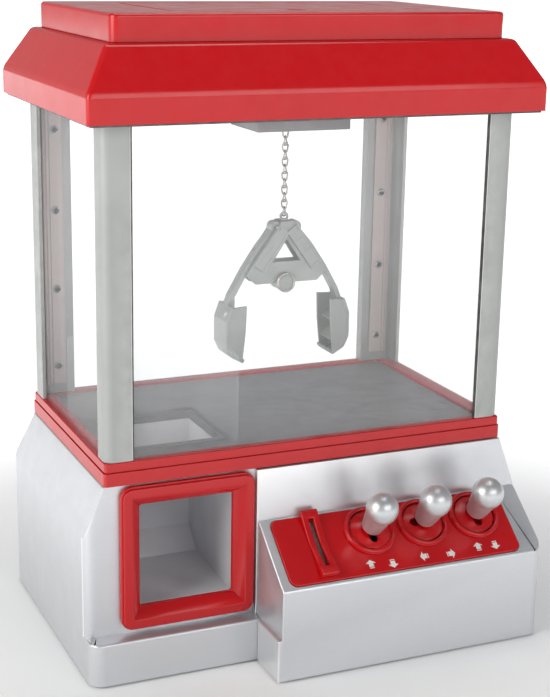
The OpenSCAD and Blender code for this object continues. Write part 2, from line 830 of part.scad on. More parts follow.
module chute_guard() {
    t = window_t;
    foot = 6.4;
    x0 = -glass_x + window_t + fit;
    z1 = deck_z + guard_h;
    color([0.9, 0.95, 1, 0.35]) difference() {
        union() {
            difference() {
                box([x0, guard_front, deck_z], [guard_x, guard_y, z1]);
                box([x0 - 1, guard_front - 1, deck_z - 1], [guard_x - t, guard_y - t, z1 + 1]);
            }
            box([guard_x - foot, guard_front, deck_z], [guard_x - t + EPS, guard_y - t + EPS, deck_z + 1.2]);
            box([bay_x0 + 4, guard_y - foot, deck_z], [guard_x - t, guard_y - t + EPS, deck_z + 1.2]);
        }
        box([x0 - 1, guard_y - 9, deck_z - 1], [-edge_x + fit, guard_y + 1, band_top + fit]);
    }
}

// ---- posts and windows ----

post_r = 5;
rear_leg = 7.2;

// Plan of a corner post whose outer corner is the origin: legs run along -X and -Y
module post_plan(w, d, leg) {
    difference() {
        union() {
            translate([-w, -leg]) square([w - post_r, leg]);
            translate([-post_t, -d]) square([post_t, d - post_r]);
            intersection() {
                translate([-post_r, -post_r]) circle(post_r);
                translate([-post_r, -post_r]) square(post_r);
            }
            translate([-post_r - EPS, -max(leg, post_r)])
                square([post_r - post_t + EPS, max(leg, post_r) - post_r + EPS]);
        }
        translate([-w - 1, -d - 1]) square([w + 1 - post_t, d + 1 - leg]);
    }
}

module upright(x, y) {
    translate([x * post_x, y * post_y, band_top]) mirror([x < 0 ? 1 : 0, 0, 0])
        mirror([0, y < 0 ? 1 : 0, 0]) linear_extrude(window_h) children();
}

module front_post(x) {
    color("#a6aaa8") upright(x, -1) post_plan(post_w, post_d, post_t);
}

// The rear leg is a hollow channel that carries the inner strip
module rear_post(x) {
    color("#a6aaa8") difference() {
        upright(x, 1) difference() {
            post_plan(rear_post_w, rear_post_d, rear_leg);
            translate([-rear_post_w + 2, -rear_leg + 2]) square([rear_post_w - 2 - post_r, rear_leg - 4]);
        }
        for (z = strip_screw_z) rod_y(x * strip_screw_x, strip_y - 1, strip_y + 4, z, screw_r + run);
    }
}

module post_front_left() { front_post(-1); }
module post_front_right() { front_post(1); }
module post_back_left() { rear_post(-1); }
module post_back_right() { rear_post(1); }

strip_x0 = post_x - 18;
strip_x1 = post_x - 5.4;
strip_t = 1.2;
strip_y = post_y - rear_leg;
strip_gap = 6;
strip_screw_x = strip_x0 + 5;
strip_screw_z = [for (i = [0:3]) band_top + 18 + i * 49 * window_h / 184.6];

// Grooved inner strips on the rear posts
module post_strips() {
    color("#b7a9a6") both_sides() difference() {
        box([strip_x0, strip_y - strip_t, band_top + strip_gap], [strip_x1, strip_y, frame_z0 - strip_gap]);
        for (x = [strip_x0 + 8.6, strip_x0 + 10.8])
            box([x - 0.5, strip_y - strip_t - 1, band_top], [x + 0.5, strip_y - 0.6, frame_z0]);
        for (z = strip_screw_z) rod_y(strip_screw_x, strip_y - 9, strip_y + 9, z, screw_r + run);
    }
}

module window_panel(x0, x1, y0, y1) {
    color([0.9, 0.95, 1, 0.25]) box([x0, y0, band_top], [x1, y1, frame_z0]);
}

module window_front() {
    window_panel(-glass_x + fit, glass_x - fit, -glass_y, -glass_y + window_t);
}

module window_back() {
    window_panel(-post_x + rear_post_w + fit, post_x - rear_post_w - fit, glass_y - window_t, glass_y);
}

module side_window(x) {
    window_panel(min(x * glass_x, x * (glass_x - window_t)), max(x * glass_x, x * (glass_x - window_t)),
        -glass_y + window_t + fit, post_y - rear_leg - fit);
}

module window_left() { side_window(-1); }
module window_right() { side_window(1); }

// All the machine's screws: under the base, on the circuit board and in the strips
module screws() {
    color("#b9bcc0") {
        for (p = plate_screws) translate([p[0], p[1], plate_z0 - head_h]) screw(screw_l);
        translate([(batt_x0 + batt_x1) / 2, batt_y0 + 12, plate_z0 - head_h]) screw(4);
        for (p = board_corners) translate([p[0], p[1], board_z1 + head_h]) rotate([180, 0, 0]) screw(8);
        both_sides() for (z = strip_screw_z)
            translate([strip_screw_x, strip_y - strip_t - head_h, z]) rotate([-90, 0, 0]) screw(2.4);
    }
}

// Pan-head screw with a cross recess, head down on z = 0
module screw(l) {
    difference() {
        union() {
            cylinder(r1 = head_r - 0.7, r2 = head_r, h = head_h);
            cylinder(r = screw_r, h = head_h + l);
        }
        for (a = [0, 90]) rotate([0, 0, a]) box([-1.5, -0.3, -1], [1.5, 0.3, 0.7]);
    }
}

// ---- roof ----

rail_y = ry - 8.3;
rail_hold = 6;
slant = slope_in / slope_h;
roof_in = roof_t * norm([1, slant]);
ledge = 4;
cap_t = 2;
hatch_x = 75;
hatch_y0 = -45;
hinge_y = 42;
hinge_z = machine_h - 2.2;
barrel_r = 2;
hatch_pin_r = 0.8;
lug_x = [30, 34];
hinge_x = 38;

module roof_frame() {
    color("#2c2e31") difference() {
        union() {
            box([-rx + roof_t + fit, -ry + roof_t + fit, frame_z0],
                [rx - roof_t - fit, ry - roof_t - fit, roof_z0]);
            for (x = [-rail_x, rail_x], y = [-rail_y, rail_y - rail_hold])
                box([x - 5, y, roof_z0 - EPS], [x + 5, y + rail_hold, rail_z + 5]);
        }
        box([-frame_in_x, -frame_in_y, frame_z0 - 1], [frame_in_x, frame_in_y, roof_z0 + 1]);
        for (x = [-rail_x, rail_x]) rod_y(x, -rail_y - 1, rail_y + 1, rail_z, rail_r + run);
    }
}

// Solid outline of the skirt and slope, with sides pulled in by o and by i on the slope
module roof_form(o, i, z0, z1, z2) {
    tapered(rx - o, -ry + o, ry - o, rx - o, -ry + o, ry - o, z0, z1);
    a = i + (z2 - slope_z0) * slant;
    tapered(rx - o, -ry + o, ry - o, rx - a, -ry + a, ry - a, z1, z2);
}

module roof_canopy() {
    z1 = slope_z0 - (roof_in - roof_t) / slant;
    color("#c81414") difference() {
        roof_form(0, 0, skirt_z0, slope_z0, cap_z0);
        difference() {
            union() {
                box([-rx + roof_t, -ry + roof_t, skirt_z0 - 1], [rx - roof_t, ry - roof_t, z1 - 1]);
                roof_form(roof_t, roof_in, z1 - 2, z1, cap_z0 - roof_t);
            }
            for (s = [-1, 1]) box([-rx, s > 0 ? ry - roof_t - ledge : -ry, roof_z0],
                [rx, s > 0 ? ry : -ry + roof_t + ledge, roof_z0 + roof_t]);
        }
        box([-kx + 6, -ky + 6, slope_z0], [kx - 6, ky - 6, cap_z0 + 1]);
    }
}

module roof_cap() {
    lip = 3;
    color("#c81414") difference() {
        union() {
            difference() {
                round_plate_at(-kx, kx, -ky, ky, cap_z0, machine_h, cap_r);
                round_plate_at(-kx + cap_t, kx - cap_t, -ky + cap_t, ky - cap_t, cap_z0 - 1,
                    machine_h - cap_t, cap_r - cap_t);
            }
            box([-hatch_x - 1, hatch_y0 - 1, machine_h - cap_t - 1.8],
                [hatch_x + 1, hinge_y - 6, machine_h - 1]);
        }
        box([-hatch_x + lip, hatch_y0 + lip, cap_z0], [hatch_x - lip, hinge_y + 3, machine_h + 1]);
        box([-hatch_x, hatch_y0, machine_h - cap_t], [hatch_x, hinge_y + 3, machine_h + 1]);
    }
    color("#c81414") both_sides() difference() {
        union() {
            rod_x(lug_x[0], lug_x[1], hinge_y, hinge_z, barrel_r);
            box([lug_x[0], hinge_y, hinge_z - barrel_r], [lug_x[1], hinge_y + 7, machine_h - cap_t + EPS]);
        }
        rod_x(lug_x[0] - 1, lug_x[1] + 1, hinge_y, hinge_z, hatch_pin_r + run);
    }
}

module filler_hatch() {
    color("#c81414") difference() {
        union() {
            round_plate_at(-hatch_x + fit, hatch_x - fit, hatch_y0 + fit, hinge_y + 1,
                machine_h - cap_t, machine_h, 1);
            rod_x(-hinge_x, hinge_x, hinge_y, hinge_z, barrel_r);
        }
        for (s = [-1, 1]) box([s > 0 ? lug_x[0] - fit : -lug_x[1] - fit, hinge_y - barrel_r - 0.6, 0],
            [s > 0 ? lug_x[1] + fit : -lug_x[0] + fit, hinge_y + 9, machine_h + 1]);
        rod_x(-hinge_x - 1, hinge_x + 1, hinge_y, hinge_z, hatch_pin_r + run);
        translate([0, hatch_y0 + 6, machine_h + 17]) sphere(r = 18);
    }
}

module hatch_pin() {
    color("#b9bcc0") rod_x(-hinge_x, hinge_x, hinge_y, hinge_z, hatch_pin_r);
}

// ---- gantry ----

module side_rails() {
    color("#c8cacd") for (x = [-rail_x, rail_x]) rod_y(x, -rail_y, rail_y, rail_z, rail_r);
}

motor_r = 5.4;
track_motor_l = 14;

// Left and right trucks joined by the beam that the carriage wheel rolls under
module bridge_trucks() {
    inner = truck_x - truck_w / 2;
    color("#e4e4e0") difference() {
        union() {
            for (x = [-truck_x, truck_x]) box([x - truck_w / 2, truck_y0, roof_z0 + 3],
                [x + truck_w / 2, truck_y1, beam_z0 + beam_t]);
            box([-inner - 1, beam_y - 4, beam_z0], [inner + 1, beam_y + 2.2, beam_z0 + beam_t]);
        }
        for (x = [-rail_x, rail_x]) rod_y(x, truck_y0 - 1, truck_y1 + 1, rail_z, rail_r + run);
        for (y = rod_ys) rod_x(-inner - 4, inner + 4, y, rod_z, rod_r + run);
        rod_x(-truck_x - truck_w, 0, beam_y, track_z, axle_r + run);
    }
}

module bridge_rods() {
    reach = truck_x - truck_w / 2 + 4;
    color("#c8cacd") for (y = rod_ys) rod_x(-reach, reach, y, rod_z, rod_r);
}

module bridge_motor() {
    x0 = -truck_x + truck_w / 2;
    color("#c8cacd") {
        rod_x(x0, x0 + track_motor_l, beam_y, track_z, motor_r);
        rod_x(-track_x - wheel_w / 2, x0 + 1, beam_y, track_z, axle_r);
    }
}

module bridge_wheel() {
    color("#2a2b2e") difference() {
        rod_x(-track_x - wheel_w / 2, -track_x + wheel_w / 2, beam_y, track_z, track_r);
        rod_x(-track_x - wheel_w, -track_x + wheel_w, beam_y, track_z, axle_r + run);
    }
}

box_t = 1.6;
well = 5;

module carriage_box() {
    color("#7d797a") difference() {
        union() {
            difference() {
                box([box_x0, box_y0, box_z0], [box_x1, box_y1, box_z1]);
                box([box_x0 + box_t, box_y0 + box_t, box_z0 + box_t],
                    [box_x1 - box_t, box_y1 - box_t, box_z1 + 1]);
            }
            box([drum_x1 + 4, drum_y - 5, box_z0 + 1], [box_x1 - 6, drum_y + 5, drum_z - 3]);
        }
        rod_x(drum_x1 + 2, box_x1 - 4, drum_y, drum_z, winch_r + run);
        box([claw_x - well, box_y0 + box_t, box_z0 - 1], [claw_x + well, claw_y + well, box_z0 + 9]);
    }
}

lug_w = 8;
lug_r = 4.2;

module carriage_lid() {
    color("#7d797a") difference() {
        union() {
            box([box_x0, box_y0, box_z1], [box_x1, box_y1, lid_z1]);
            for (x = [box_x0 + 2, box_x1 - 2 - lug_w], y = rod_ys)
                box([x, y - lug_r, lid_z1 - EPS], [x + lug_w, y + lug_r, rod_z + lug_r]);
            box([drive_x - 4, beam_y + 3, lid_z1 - EPS], [drive_x + 4, beam_y + 9, drive_z - 2]);
        }
        for (y = rod_ys) rod_x(box_x0 - 1, box_x1 + 1, y, rod_z, rod_r + run);
        rod_y(drive_x, beam_y + 1, beam_y + 12, drive_z, motor_r + run);
        box([claw_x - well, box_y0 + box_t, 0], [claw_x + well, claw_y + well, machine_h]);
    }
}

module carriage_motor() {
    color("#c8cacd") {
        rod_y(drive_x, beam_y + 2.6, beam_y + 9.2, drive_z, motor_r);
        rod_y(drive_x, beam_y - wheel_w / 2 - 0.5, beam_y + 3, drive_z, axle_r);
    }
}

module carriage_wheel() {
    color("#2a2b2e") difference() {
        rod_y(drive_x, beam_y - wheel_w / 2, beam_y + wheel_w / 2, drive_z, wheel_r);
        rod_y(drive_x, beam_y - wheel_w, beam_y + wheel_w, drive_z, axle_r + run);
    }
}

winch_r = 7;

module winch_motor() {
    color("#c8cacd") {
        rod_x(drum_x1 + 2.5, box_x1 - 8, drum_y, drum_z, winch_r);
        rod_x(drum_x0 - 0.5, drum_x1 + 3, drum_y, drum_z, axle_r);
    }
}

module winch_drum() {
    rim = 1.5;
    color("#e4e4e0") difference() {
        union() {
            rod_x(drum_x0, drum_x1, drum_y, drum_z, drum_r);
            for (x = [drum_x0, drum_x1 - rim]) rod_x(x, x + rim, drum_y, drum_z, drum_r + 2);
        }
        rod_x(drum_x0 - 1, drum_x1 + 1, drum_y, drum_z, axle_r + run);
    }
}

// ---- claw ----

ring_r = 2.9;
ring_hole = 1.5;
ring_t = 1.2;
link_in = (link_pitch + 0.3) / 2;
link_z0 = ring_z + ring_hole - wire_d - 0.7 + link_in + wire_d;
link_n = floor((chain_top - link_z0) / link_pitch) + 1;

// Flat link with round ends, standing up on its centre
module chain_link() {
    w = link_wide / 2;
    half = link_in + wire_d - w;
    rotate([90, 0, 0]) translate([0, 0, -wire_d / 2]) linear_extrude(wire_d) difference() {
        union() {
            square([2 * w, 2 * half], center = true);
            for (s = [-1, 1]) translate([0, s * half]) circle(w, $fn = 24);
        }
        square([2 * (w - wire_d), 2 * half], center = true);
        for (s = [-1, 1]) translate([0, s * half]) circle(w - wire_d, $fn = 24);
    }
}

module hoist_chain() {
    color("#b9bcc0") for (i = [0:link_n - 1])
        translate([claw_x, claw_y, link_z0 + i * link_pitch])
            rotate([0, 0, i % 2 == 0 ? 45 : -45]) chain_link();
}

// Outline of one hub plate, in the plane of the claw
module hub_plan() {
    difference() {
        polygon([[-4, 4], [4, 4], [27.5, -28.9], [21, -34.9], [-21, -34.9], [-27.5, -28.9]]);
        polygon([[0, -7], [9.5, -21.4], [-9.5, -21.4]]);
    }
}

// Plates in front of and behind the jaws, with arms, spacer, eye ring and boss
module claw_hub() {
    boss_x1 = -1.5;
    boss_z1 = -34.4;
    boss_r1 = 5.9;
    boss_y0 = -plate_y - plate_t - 3;
    color("#8f9492") translate([claw_x, claw_y, claw_z]) difference() {
        union() {
            for (y = [-plate_y - plate_t, plate_y]) translate([0, y + plate_t, 0]) rotate([90, 0, 0])
                linear_extrude(plate_t) hub_plan();
            for (s = [-1, 1]) hub_arm(s);
            box([-2.2, -plate_y - 1, -6], [2.2, plate_y + 1, 4]);
            box([-4, -plate_y - 1, -34], [4, plate_y + 1, -26]);
            rod_y(boss_x1, boss_y0, plate_y + 1, boss_z1, boss_r1);
            translate([0, 0, ring_z - claw_z]) rotate([0, 0, -45])
                rod_y(0, -ring_t / 2, ring_t / 2, 0, ring_r);
        }
        rod_y(boss_x1, boss_y0 - 1, boss_y0 + 0.8, boss_z1, boss_r1 - 1);
        for (s = [-1, 1]) rod_y(s * pivot_dx, -20, 20, 0, pin_r + run);
        translate([0, 0, ring_z - claw_z]) rotate([0, 0, -45]) rod_y(0, -9, 9, 0, ring_hole);
    }
}

// Raised rail along one arm of the front and rear plates
module hub_arm(s) {
    a = atan2(32.9, 23.5);
    half_l = 15;
    half_w = 4.2;
    rail_t = 1.6;
    for (y = [-plate_y - plate_t - rail_t, plate_y + plate_t - EPS])
        translate([s * 11.2, y, -12.6]) rotate([0, s > 0 ? a : 180 - a, 0])
            box([-half_l, 0, -half_w], [half_l, rail_t + EPS, half_w]);
}

module claw_pins() {
    color("#b9bcc0") translate([claw_x, claw_y, claw_z]) for (s = [-1, 1])
        rod_y(s * pivot_dx, -plate_y - plate_t - 0.8, plate_y + plate_t + 0.8, 0, pin_r);
}

jaw_s = [jaw_spread / 42.5, jaw_l / 84];
jaw_path = [for (p = [[6.6, 0], [17.3, -12.7], [26.7, -26.5], [35.6, -42], [40.9, -56.8], [40.9, -72],
    [37.9, -78.2], [30.4, -82.4]]) [p[0] == 6.6 ? pivot_dx : p[0] * jaw_s[0], p[1] * jaw_s[1]]];
scoop_path = [jaw_at([37.6, -47.6]), jaw_path[4], jaw_path[5], jaw_path[6], jaw_path[7]];
scoop_edge = [jaw_at([31, -80]), jaw_at([29.2, -64]), jaw_at([28.6, -47])];

function jaw_at(p) = [p[0] * jaw_s[0], p[1] * jaw_s[1]];

// Strip of thickness t along a list of points
module strip_plan(pts, t) {
    for (i = [0:len(pts) - 2]) {
        d = pts[i + 1] - pts[i];
        translate(pts[i]) rotate(atan2(d[1], d[0])) translate([0, -t / 2]) square([norm(d), t]);
    }
    for (i = [1:len(pts) - 2]) translate(pts[i]) circle(t / 2, $fn = 24);
}

module slab_y(y0, y1) {
    translate([0, y1, 0]) rotate([90, 0, 0]) linear_extrude(y1 - y0) children();
}

// Right-hand jaw about its own pivot: blade, eye and a scoop with two side walls
module jaw() {
    half = scoop_d / 2;
    side = 1.4;
    inset = 0.25;
    difference() {
        union() {
            slab_y(-blade_d / 2, blade_d / 2) strip_plan([for (i = [0:4]) jaw_path[i]], blade_t);
            slab_y(-half, half) strip_plan(scoop_path, blade_t - 0.5);
            for (y = [-half + inset, half - inset - side]) slab_y(y, y + side)
                polygon(concat(scoop_path, scoop_edge));
            slab_y(-half + 2 * inset, half - 2 * inset) rib_plan();
            rod_y(pivot_dx, -blade_d / 2, blade_d / 2, 0, eye_r);
        }
        rod_y(pivot_dx, -blade_d, blade_d, 0, pin_r + run);
    }
}

// Two thin cross walls inside the scoop
module rib_plan() {
    for (p = [[[40, -57], [32, -62]], [[40, -68], [31.4, -75]]]) {
        a = jaw_at(p[0]);
        d = jaw_at(p[1]) - a;
        translate(a) rotate(atan2(d[1], d[0])) translate([0, -0.6]) square([norm(d), 1.2]);
    }
}

module jaw_right() {
    color("#9aa09c") translate([claw_x, claw_y, claw_z]) jaw();
}

module jaw_left() {
    color("#9aa09c") translate([claw_x, claw_y, claw_z]) mirror([1, 0, 0]) jaw();
}

base_housing();
base_plate();
rubber_feet();
battery_door();
battery_holder();
console_housing();
control_panel();
coin_slot_bezel();
coin_chute();
coin_lever();
coin_bank();
coin_bank_door();
joystick_bezel_left();
joystick_bezel_middle();
joystick_bezel_right();
joystick_left();
joystick_middle();
joystick_right();
joystick_brackets();
joystick_switches();
prize_frame();
prize_chute();
trim_band();
floor_tray();
chute_guard();
post_front_left();
post_front_right();
post_back_left();
post_back_right();
post_strips();
screws();
window_front();
window_back();
window_left();
window_right();
roof_frame();
roof_canopy();
roof_cap();
filler_hatch();
hatch_pin();
side_rails();
bridge_trucks();
bridge_rods();
bridge_motor();
bridge_wheel();
carriage_box();
carriage_lid();
carriage_motor();
carriage_wheel();
winch_motor();
winch_drum();
hoist_chain();
claw_hub();
claw_pins();
jaw_left();
jaw_right();
circuit_board();
speaker();
switch_body();
power_switch();
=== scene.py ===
import json
import math

import bmesh
import bpy
from mathutils import Matrix, Vector


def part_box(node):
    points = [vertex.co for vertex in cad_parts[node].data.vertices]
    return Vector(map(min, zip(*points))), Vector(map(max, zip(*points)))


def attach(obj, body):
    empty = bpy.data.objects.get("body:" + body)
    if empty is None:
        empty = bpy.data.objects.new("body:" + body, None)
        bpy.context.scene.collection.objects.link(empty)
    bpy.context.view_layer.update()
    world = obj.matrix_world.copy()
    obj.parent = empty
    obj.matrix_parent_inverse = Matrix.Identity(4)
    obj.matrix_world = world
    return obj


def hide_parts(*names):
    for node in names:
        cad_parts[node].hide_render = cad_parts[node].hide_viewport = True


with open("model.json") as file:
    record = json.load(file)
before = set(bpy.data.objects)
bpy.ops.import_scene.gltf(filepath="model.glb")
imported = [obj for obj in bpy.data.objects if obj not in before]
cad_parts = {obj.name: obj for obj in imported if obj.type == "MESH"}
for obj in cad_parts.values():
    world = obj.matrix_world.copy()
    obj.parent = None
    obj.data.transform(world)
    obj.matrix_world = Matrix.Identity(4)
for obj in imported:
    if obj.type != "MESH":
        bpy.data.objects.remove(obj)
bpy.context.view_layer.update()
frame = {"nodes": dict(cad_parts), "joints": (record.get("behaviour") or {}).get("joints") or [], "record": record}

MM = 0.001
NODES = frame["nodes"]
BODY_OF = {n: b for b, names in frame["record"]["behaviour"]["bodies"].items() for n in names}
SLOT_OF = {s["node"]: s["material_slot"] for s in frame["record"]["subparts"]}
PIVOTS = {j["name"]: Vector(j["pos_m"]) for j in frame["joints"] if "pos_m" in j}
BOX = {name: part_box(name) for name in NODES}


# ---------------------------------------------------------------- camera

CAMERA_AT = (-0.35493, -0.82208, 0.40944)
CAMERA_AZIMUTH = 23.807
CAMERA_ELEVATION = -15.263
CAMERA_ROLL = 1.016
CAMERA_LENS = 78.12
CAMERA_SENSOR = 36
CAMERA_NEAR = 0.01


def add_camera():
    """A camera that sees the object as the photograph does."""
    az, el, roll = (math.radians(v) for v in (CAMERA_AZIMUTH, CAMERA_ELEVATION, CAMERA_ROLL))
    forward = Vector((math.cos(el) * math.sin(az), math.cos(el) * math.cos(az), math.sin(el)))
    level = Vector((math.cos(az), -math.sin(az), 0))
    upright = level.cross(forward)
    right = level * math.cos(roll) + upright * math.sin(roll)
    up = right.cross(forward)
    data = bpy.data.cameras.new("camera")
    data.sensor_width = CAMERA_SENSOR
    data.lens = CAMERA_LENS
    data.clip_start = CAMERA_NEAR
    camera = bpy.data.objects.new("camera", data)
    bpy.context.scene.collection.objects.link(camera)
    turn = Matrix((right, up, -forward)).transposed().to_4x4()
    camera.matrix_world = Matrix.Translation(CAMERA_AT) @ turn
    bpy.context.scene.camera = camera


# ---------------------------------------------------------------- light and floor

WORLD_STRENGTH = 0.45
WORLD_LEVEL = (1, 1, 1, 1)
WORLD_ABOVE = (0.45, 0.46, 0.48, 1)
WORLD_ABOVE_FROM = 0.7
BACKDROP = (2.4, 2.4, 2.4, 1)


def add_world():
    """A white room that greys upwards. The camera itself sees a plain white backdrop."""
    world = bpy.data.worlds.new("studio")
    world.use_nodes = True
    tree = world.node_tree
    tree.nodes.clear()
    out = tree.nodes.new("ShaderNodeOutputWorld")
    back = tree.nodes.new("ShaderNodeBackground")
    coord = tree.nodes.new("ShaderNodeTexCoord")
    split = tree.nodes.new("ShaderNodeSeparateXYZ")
    ramp = tree.nodes.new("ShaderNodeValToRGB")
    ramp.color_ramp.elements[0].position = 0.0
    ramp.color_ramp.elements[0].color = WORLD_LEVEL
    ramp.color_ramp.elements[1].position = WORLD_ABOVE_FROM
    ramp.color_ramp.elements[1].color = WORLD_ABOVE
    path = tree.nodes.new("ShaderNodeLightPath")
    mix = tree.nodes.new("ShaderNodeMix")
    mix.data_type = "RGBA"
    mix.inputs["B"].default_value = BACKDROP
    back.inputs["Strength"].default_value = WORLD_STRENGTH
    link = tree.links.new
    link(coord.outputs["Generated"], split.inputs[0])
    link(split.outputs["Z"], ramp.inputs["Fac"])
    link(path.outputs["Is Camera Ray"], mix.inputs["Factor"])
    link(ramp.outputs["Color"], mix.inputs["A"])
    link(mix.outputs["Result"], back.inputs["Color"])
    link(back.outputs[0], out.inputs[0])
    bpy.context.scene.world = world


# Name, place, aim, width and height, watts, colour
LIGHTS = (
    ("key", (-1.35, -0.3, 0.7), (0, 0, 0.2), (0.9, 0.9), 13, (1.0, 0.99, 0.95)),
    ("front", (0.35, -1.5, 0.75), (0.05, 0, 0.15), (1.3, 0.7), 7, (1, 1, 1)),
    ("top", (0.1, 0.2, 1.4), (0, 0, 0.2), (0.9, 0.7), 6, (1, 1, 1)),
)


def add_lights():
    """Soft rectangular lamps: the key at the left, one in front and one above."""
    for name, at, to, size, watts, colour in LIGHTS:
        data = bpy.data.lights.new(name, "AREA")
        data.shape = "RECTANGLE"
        data.size, data.size_y = size
        data.energy = watts
        data.color = colour
        lamp = bpy.data.objects.new(name, data)
        bpy.context.scene.collection.objects.link(lamp)
        aim = (Vector(to) - Vector(at)).to_track_quat("-Z", "Y")
        lamp.matrix_world = Matrix.Translation(at) @ aim.to_matrix().to_4x4()


FLOOR_HALF = 6.0
FLOOR_COLOUR = (0.93, 0.935, 0.94, 1)
FLOOR_ROUGH = 0.75
FLOOR_SPECULAR = 0.15
# The floor glows more the farther it is from the object, and so fades into the backdrop.
# Each point is (distance in metres times GLOW_SHRINK, strength).
GLOW_SHRINK = 0.6
GLOW_FIRST = (0.0, 0.0)
GLOW_LAST = (1.0, 0.9)
GLOW_BETWEEN = ((0.10, 0.03), (0.25, 0.5), (0.6, 0.75))


def add_floor():
    """A white floor that takes the shadow near the object and fades to white round it."""
    mesh = bpy.data.meshes.new("floor")
    corners = [(x * FLOOR_HALF, y * FLOOR_HALF, 0) for x, y in ((-1, -1), (1, -1), (1, 1), (-1, 1))]
    mesh.from_pydata(corners, [], [(0, 1, 2, 3)])
    floor = bpy.data.objects.new("floor", mesh)
    bpy.context.scene.collection.objects.link(floor)
    mat = bpy.data.materials.new("floor_white")
    mat.use_nodes = True
    tree = mat.node_tree
    shader = tree.nodes["Principled BSDF"]
    shader.inputs["Base Color"].default_value = FLOOR_COLOUR
    shader.inputs["Roughness"].default_value = FLOOR_ROUGH
    shader.inputs["Specular IOR Level"].default_value = FLOOR_SPECULAR
    shader.inputs["Emission Color"].default_value = (1, 1, 1, 1)
    coord = tree.nodes.new("ShaderNodeTexCoord")
    reach = tree.nodes.new("ShaderNodeVectorMath")
    reach.operation = "LENGTH"
    glow = tree.nodes.new("ShaderNodeFloatCurve")
    points = glow.mapping.curves[0].points
    points[0].location = GLOW_FIRST
    points[1].location = GLOW_LAST
    for at in GLOW_BETWEEN:
        points.new(*at)
    shrink = tree.nodes.new("ShaderNodeMath")
    shrink.operation = "MULTIPLY"
    shrink.inputs[1].default_value = GLOW_SHRINK
    tree.links.new(coord.outputs["Object"], reach.inputs[0])
    tree.links.new(reach.outputs["Value"], shrink.inputs[0])
    tree.links.new(shrink.outputs[0], glow.inputs["Value"])
    tree.links.new(glow.outputs["Value"], shader.inputs["Emission Strength"])
    mesh.materials.append(mat)


# ---------------------------------------------------------------- materials

class Graph:
    """A material's node tree with short calls for the nodes used here."""

    def __init__(self, name):
        self.mat = bpy.data.materials.new(name)
        self.mat.use_nodes = True
        self.tree = self.mat.node_tree
        self.shader = self.tree.nodes["Principled BSDF"]
        self.coord = self.tree.nodes.new("ShaderNodeTexCoord").outputs["Object"]

    def link(self, a, b):
        self.tree.links.new(a, b)

    def set(self, **values):
        """Sets sockets of the shader, with a space for each underscore in the names."""
        for key, value in values.items():
            self.shader.inputs[key.replace("_", " ")].default_value = value

    def noise(self, scale, detail=3.0, stretch=(1, 1, 1)):
        """Noise in the object's own place, whose texture can be stretched."""
        place = self.tree.nodes.new("ShaderNodeMapping")
        place.inputs["Scale"].default_value = stretch
        self.link(self.coord, place.inputs["Vector"])
        node = self.tree.nodes.new("ShaderNodeTexNoise")
        node.inputs["Scale"].default_value = scale
        node.inputs["Detail"].default_value = detail
        self.link(place.outputs[0], node.inputs["Vector"])
        return node.outputs["Fac"]

    def spread(self, value, low, high, start=0.3, stop=0.7):
        """Carries start..stop of a value to low..high."""
        node = self.tree.nodes.new("ShaderNodeMapRange")
        node.inputs["From Min"].default_value = start
        node.inputs["From Max"].default_value = stop
        node.inputs["To Min"].default_value = low
        node.inputs["To Max"].default_value = high
        self.link(value, node.inputs["Value"])
        return node.outputs["Result"]

    def blend(self, factor, a, b):
        """Mixes two colours, each an (r, g, b) or a socket."""
        node = self.tree.nodes.new("ShaderNodeMix")
        node.data_type = "RGBA"
        self.link(factor, node.inputs["Factor"])
        for socket, value in (("A", a), ("B", b)):
            if isinstance(value, tuple):
                node.inputs[socket].default_value = (*value, 1)
            else:
                self.link(value, node.inputs[socket])
        return node.outputs["Result"]

    def edges(self, start=0.52, stop=0.6):
        """1 on outer edges and 0 on flat faces, from the mesh's pointiness."""
        geometry = self.tree.nodes.new("ShaderNodeNewGeometry")
        return self.spread(geometry.outputs["Pointiness"], 0.0, 1.0, start, stop)

    def bump(self, value, strength, distance, under=None):
        """A bump from a value, on top of the normal that another bump gave."""
        node = self.tree.nodes.new("ShaderNodeBump")
        node.inputs["Strength"].default_value = strength
        node.inputs["Distance"].default_value = distance
        self.link(value, node.inputs["Height"])
        if under is not None:
            self.link(under, node.inputs["Normal"])
        return node.outputs["Normal"]


def shade(colour, factor):
    """A colour made darker or lighter, with no channel above 1."""
    return tuple(min(1, c * factor) for c in colour)


def moulded(name, colour, rough, grain=900, depth=0.02, shift=0.06, metallic=0.0, wear=0.25):
    """Moulded plastic: faint cloudy colour, uneven gloss, fine grain and slightly worn edges."""
    g = Graph(name)
    cloud = g.blend(g.spread(g.noise(scale=26), 0, 1), shade(colour, 1 - shift), shade(colour, 1 + shift))
    worn = tuple(min(1, c + (1 - c) * wear * 0.5) for c in colour)
    rubbed = g.tree.nodes.new("ShaderNodeMath")
    rubbed.operation = "MULTIPLY"
    g.link(g.edges(), rubbed.inputs[0])
    g.link(g.spread(g.noise(scale=140), 0.15, 0.9), rubbed.inputs[1])
    g.link(g.blend(rubbed.outputs[0], cloud, worn), g.shader.inputs["Base Color"])
    gloss = g.noise(scale=60, detail=5)
    g.link(g.spread(gloss, rough * 0.8, rough * 1.25), g.shader.inputs["Roughness"])
    fine = g.bump(g.noise(scale=grain, detail=2), strength=depth, distance=0.0004)
    ripple = g.bump(g.noise(scale=45, detail=2), strength=depth, distance=0.002, under=fine)
    g.link(ripple, g.shader.inputs["Normal"])
    g.set(Metallic=metallic)
    return g.mat


